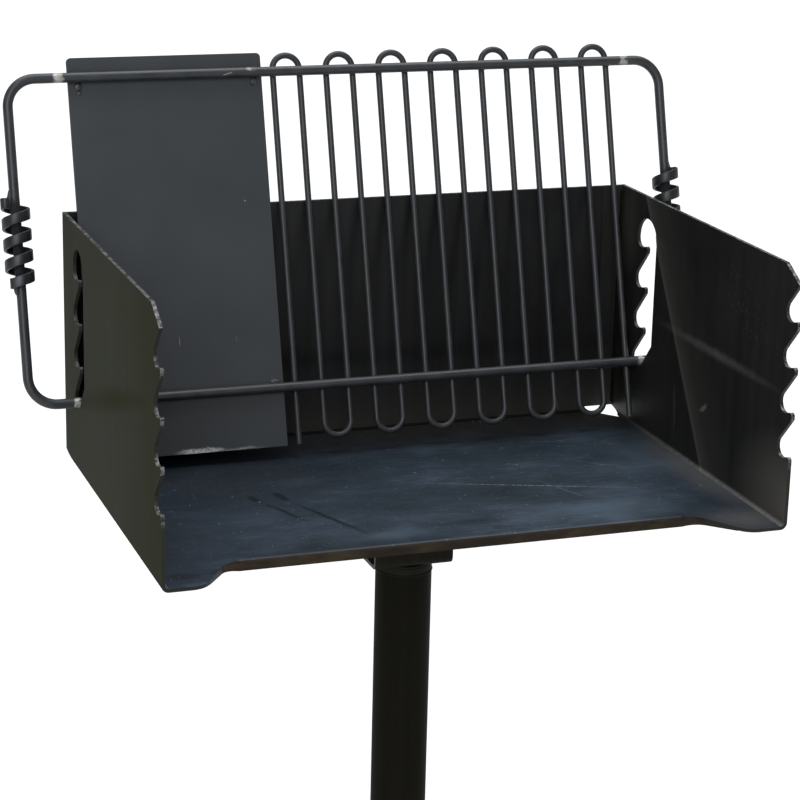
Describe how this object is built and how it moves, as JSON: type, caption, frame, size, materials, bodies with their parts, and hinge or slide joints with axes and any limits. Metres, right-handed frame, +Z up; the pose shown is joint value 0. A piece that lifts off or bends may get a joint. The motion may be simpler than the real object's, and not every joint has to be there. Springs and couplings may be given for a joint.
{
  "type": "pedestal charcoal grill",
  "caption": "Open-front charcoal grill with a swivelling sheet-steel firebox on a single post and a captive cooking grate that tips back.",
  "frame": {"origin": "centre of the base plate's underside, on the post's axis, at ground level", "axes": "+Z up, -Y towards the open front of the firebox, +X to the right as seen from the front"},
  "size_m": [0.7284, 0.44, 1.159],
  "materials": {
    "firebox_steel": "dull black, weathered",
    "stand_steel": "satin black",
    "grate_steel": "satin dark grey",
    "hardware_zinc": "zinc plated"
  },
  "bodies": {
    "stand": {"base_plate": "stand_steel", "foot_weld_ring": "stand_steel", "post_pipe": "stand_steel", "post_cap": "stand_steel", "cap_weld": "stand_steel", "swivel_bolt": "hardware_zinc", "bearing_washer": "hardware_zinc", "nut_washer": "hardware_zinc", "lock_nut": "hardware_zinc"},
    "firebox": {"mounting_channel": "stand_steel", "channel_welds": "stand_steel", "firebox_shell": "firebox_steel", "back_panel": "firebox_steel", "corner_welds": "firebox_steel"},
    "grate": {"loop_frame": "grate_steel", "serpentine_rod": "grate_steel", "cooking_plate": "grate_steel", "plate_welds": "grate_steel", "front_rail_welds": "grate_steel", "rear_rail_welds": "grate_steel", "left_coil_handle": "grate_steel", "right_coil_handle": "grate_steel", "left_coil_welds": "grate_steel", "right_coil_welds": "grate_steel"}
  },
  "joints": [
    {"name": "head_swivel", "type": "hinge", "parent": "stand", "child": "firebox", "pos_m": [0, 0, 0.6798], "axis": [0, 0, 1], "continuous": true},
    {"name": "grate_tip", "type": "hinge", "parent": "firebox", "child": "grate", "pos_m": [0, 0.10847, 0.834], "axis": [1, 0, 0], "range_deg": [0, 71.3]}
  ]
}
